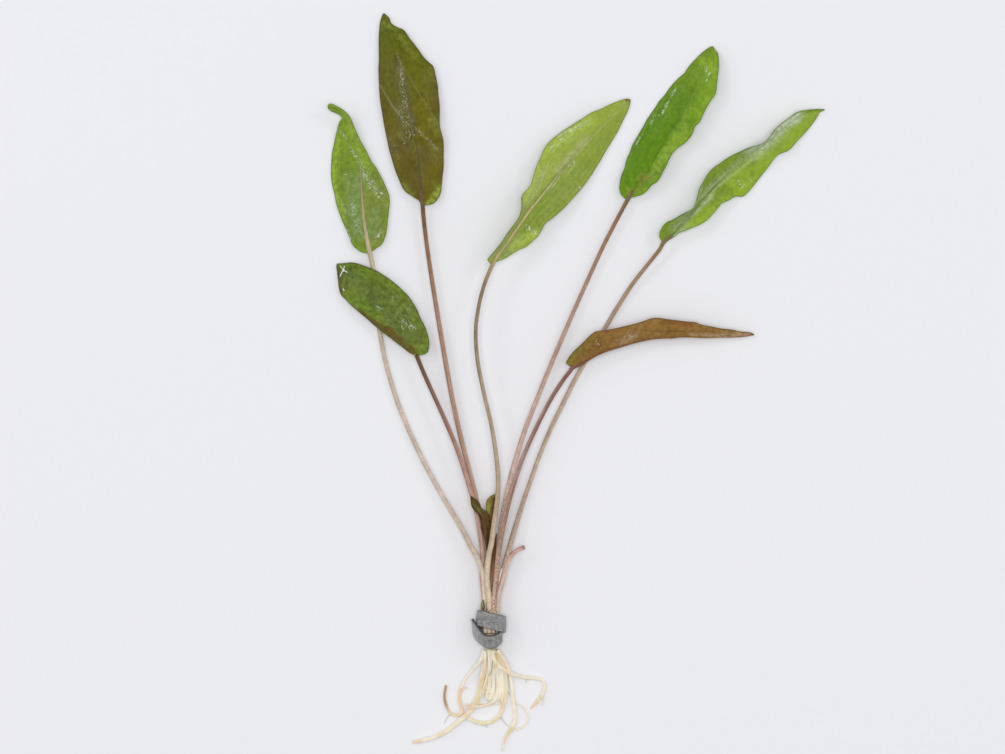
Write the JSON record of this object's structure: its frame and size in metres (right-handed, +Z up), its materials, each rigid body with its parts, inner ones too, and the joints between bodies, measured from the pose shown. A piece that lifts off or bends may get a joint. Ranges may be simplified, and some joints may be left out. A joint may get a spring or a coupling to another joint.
{
  "type": "bare-root cryptocoryne plant",
  "caption": "Bare-root aquarium plant with long-stalked oval leaves, pale roots and a soft metal weight strip round its base, lying flat.",
  "frame": {"origin": "on the surface that the plant lies on, under the middle of its outline", "axes": "+Y from the roots to the leaf tips, +Z up from the surface, +X to the right seen from above"},
  "size_m": [0.1684, 0.2506, 0.0126],
  "materials": {
    "bright_green_leaf": "wet leaf, glossy",
    "light_green_leaf": "wet leaf, glossy",
    "olive_leaf": "wet leaf, glossy, creased",
    "dark_green_leaf": "wet leaf, glossy",
    "brown_leaf": "wilting leaf, satin",
    "tan_stalk": "ribbed fleshy stalk, satin",
    "red_stalk": "ribbed fleshy stalk, satin",
    "crown_flesh": "pale fleshy rhizome",
    "root_skin": "translucent wet root",
    "lead_strip": "dull grey soft metal with faint scratches"
  },
  "bodies": {
    "root": {"left_leaf_blade": "bright_green_leaf", "small_leaf_blade": "dark_green_leaf", "olive_leaf_blade": "olive_leaf", "middle_leaf_blade": "light_green_leaf", "tall_leaf_blade": "bright_green_leaf", "wavy_leaf_blade": "light_green_leaf", "folded_leaf_blade": "brown_leaf", "outer_young_leaf": "dark_green_leaf", "inner_young_leaf": "dark_green_leaf", "left_leaf_stalk": "tan_stalk", "small_leaf_stalk": "red_stalk", "olive_leaf_stalk": "red_stalk", "middle_leaf_stalk": "tan_stalk", "tall_leaf_stalk": "tan_stalk", "wavy_leaf_stalk": "tan_stalk", "folded_leaf_stalk": "red_stalk", "young_shoot": "red_stalk", "cut_stalk": "tan_stalk", "dried_scale": "brown_leaf", "crown": "crown_flesh", "long_root": "root_skin", "hooked_root": "root_skin", "crossing_root": "root_skin", "loop_root": "root_skin", "right_root": "root_skin", "lower_root": "root_skin", "short_root": "root_skin", "weight_strip": "lead_strip"}
  },
  "joints": []
}
